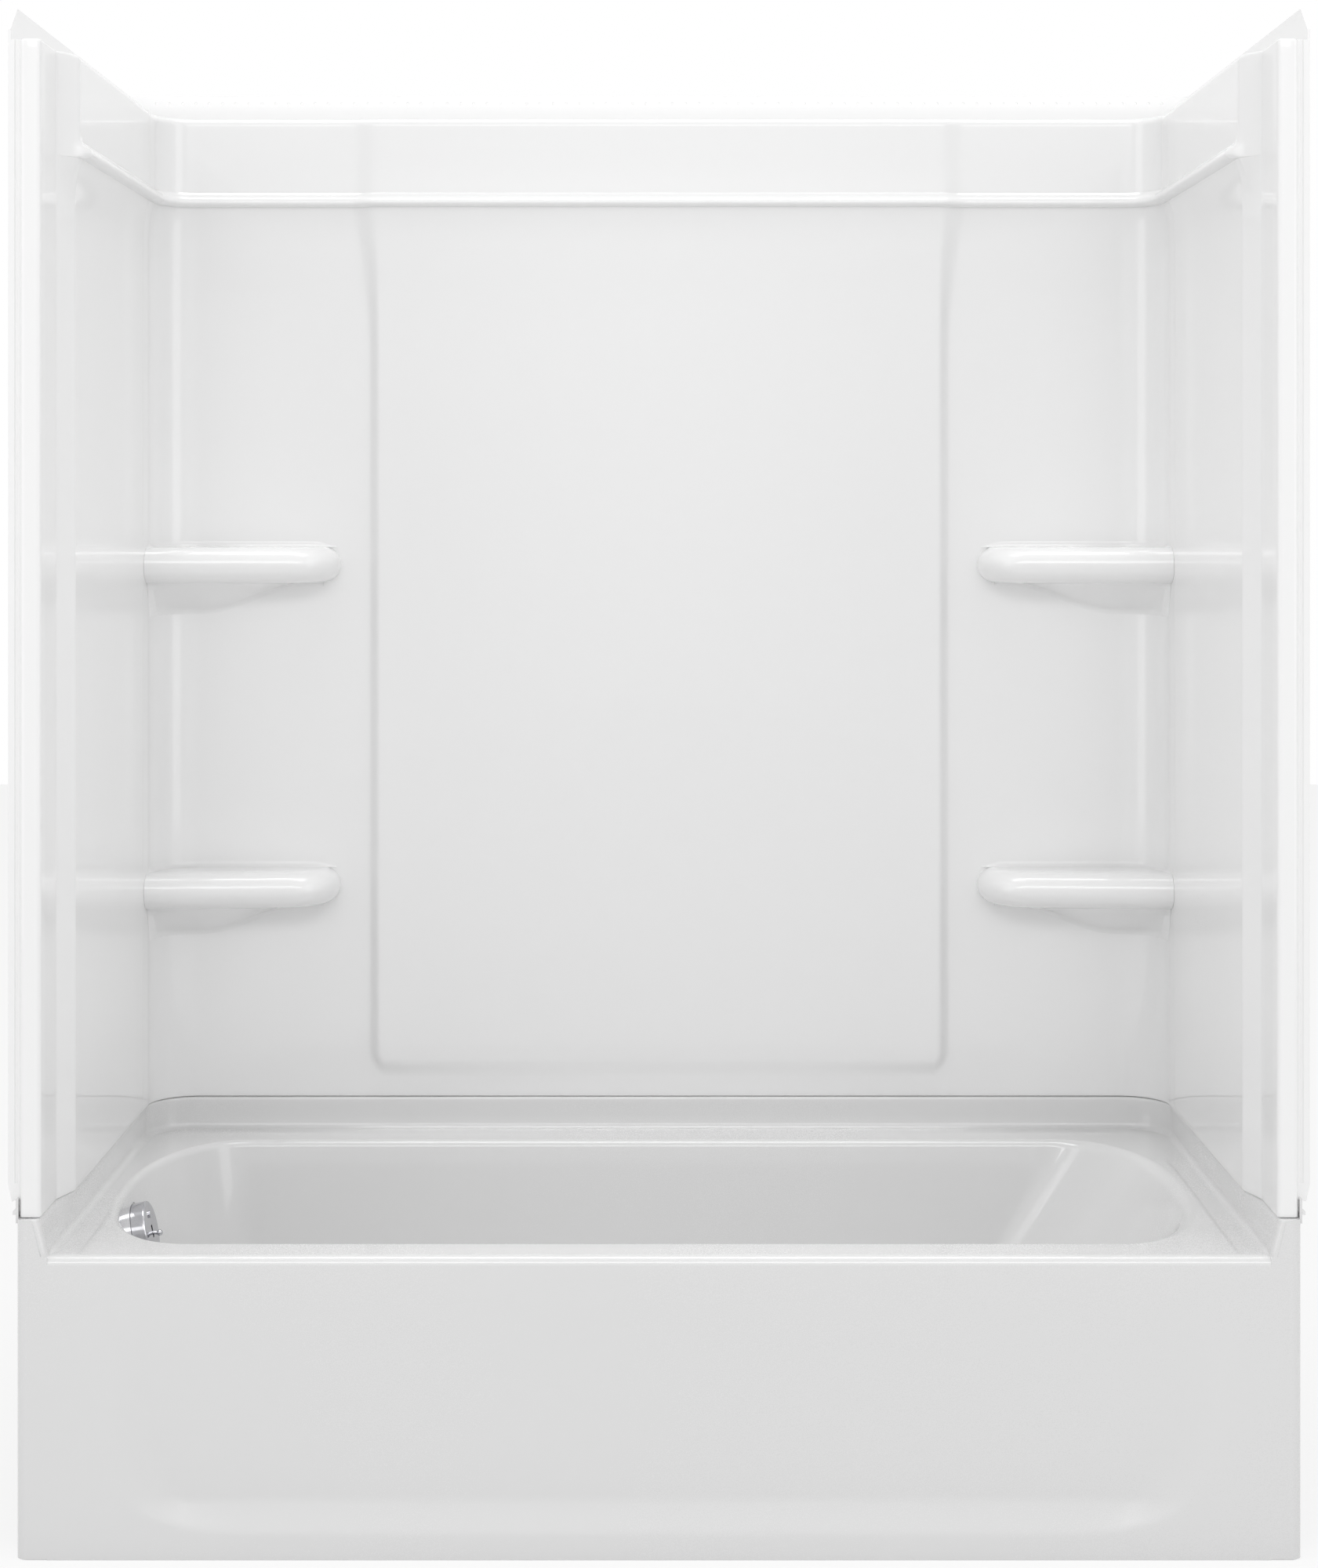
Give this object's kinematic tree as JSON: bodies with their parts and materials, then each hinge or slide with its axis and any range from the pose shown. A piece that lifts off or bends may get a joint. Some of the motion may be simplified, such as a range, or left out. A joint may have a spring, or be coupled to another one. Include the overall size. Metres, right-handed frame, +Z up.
{
  "type": "alcove bathtub with wall surround",
  "caption": "Alcove bathtub with apron, ledged wall surround with corner shelves, and a trip-lever waste and overflow.",
  "frame": {"origin": "on the floor, under the middle of the unit's outer box", "axes": "+X to the right as seen from the open front, +Y to the rear studs, +Z up"},
  "size_m": [1.53, 0.768, 1.824],
  "materials": {
    "tub_white": "glossy white moulding",
    "wall_white": "glossy white moulding",
    "seal": "dark foam strip",
    "spring_steel": "bright spring steel",
    "board": "raw board",
    "chrome": "polished chrome",
    "brass": "plain brass",
    "rubber": "black rubber",
    "pipe_plastic": "black pipe plastic"
  },
  "bodies": {
    "unit": {"bathtub": "tub_white", "back_wall": "wall_white", "left_end_wall": "wall_white", "right_end_wall": "wall_white", "tub_seam_seal": "seal", "left_corner_seal": "seal", "right_corner_seal": "seal", "left_corner_clips": "spring_steel", "right_corner_clips": "spring_steel", "support_board": "board", "support_feet": "board", "apron_rail": "board", "overflow_faceplate": "chrome", "faceplate_screws": "chrome", "lever_pin": "spring_steel", "lever_washer": "brass", "overflow_gasket": "rubber", "overflow_elbow": "pipe_plastic", "overflow_tube": "brass", "tee_nut": "brass", "tee_washer": "rubber", "waste_tee": "pipe_plastic", "shoe_nut": "brass", "shoe_washer": "rubber", "drain_shoe": "pipe_plastic", "shoe_gasket": "rubber", "drain_flange": "chrome", "drain_strainer": "chrome", "strainer_screw": "chrome"},
    "lever": {"trip_lever": "chrome"},
    "linkage": {"linkage_yoke": "brass", "linkage_rod": "brass", "linkage_nut": "brass", "plunger": "brass"}
  },
  "joints": [
    {"name": "trip_lever_pivot", "type": "hinge", "parent": "unit", "child": "lever", "pos_m": [-0.66649, -0.046, 0.29725], "axis": [0, 1, 0], "range_deg": [-24, 8]},
    {"name": "linkage_slide", "type": "slide", "parent": "unit", "child": "linkage", "axis": [0, 0, 1], "range_m": [-0.0217, 0.0074]}
  ],
  "couplings": [
    {"joint": "linkage_slide", "follows": "trip_lever_pivot", "m_per_rad": 0.05151}
  ]
}
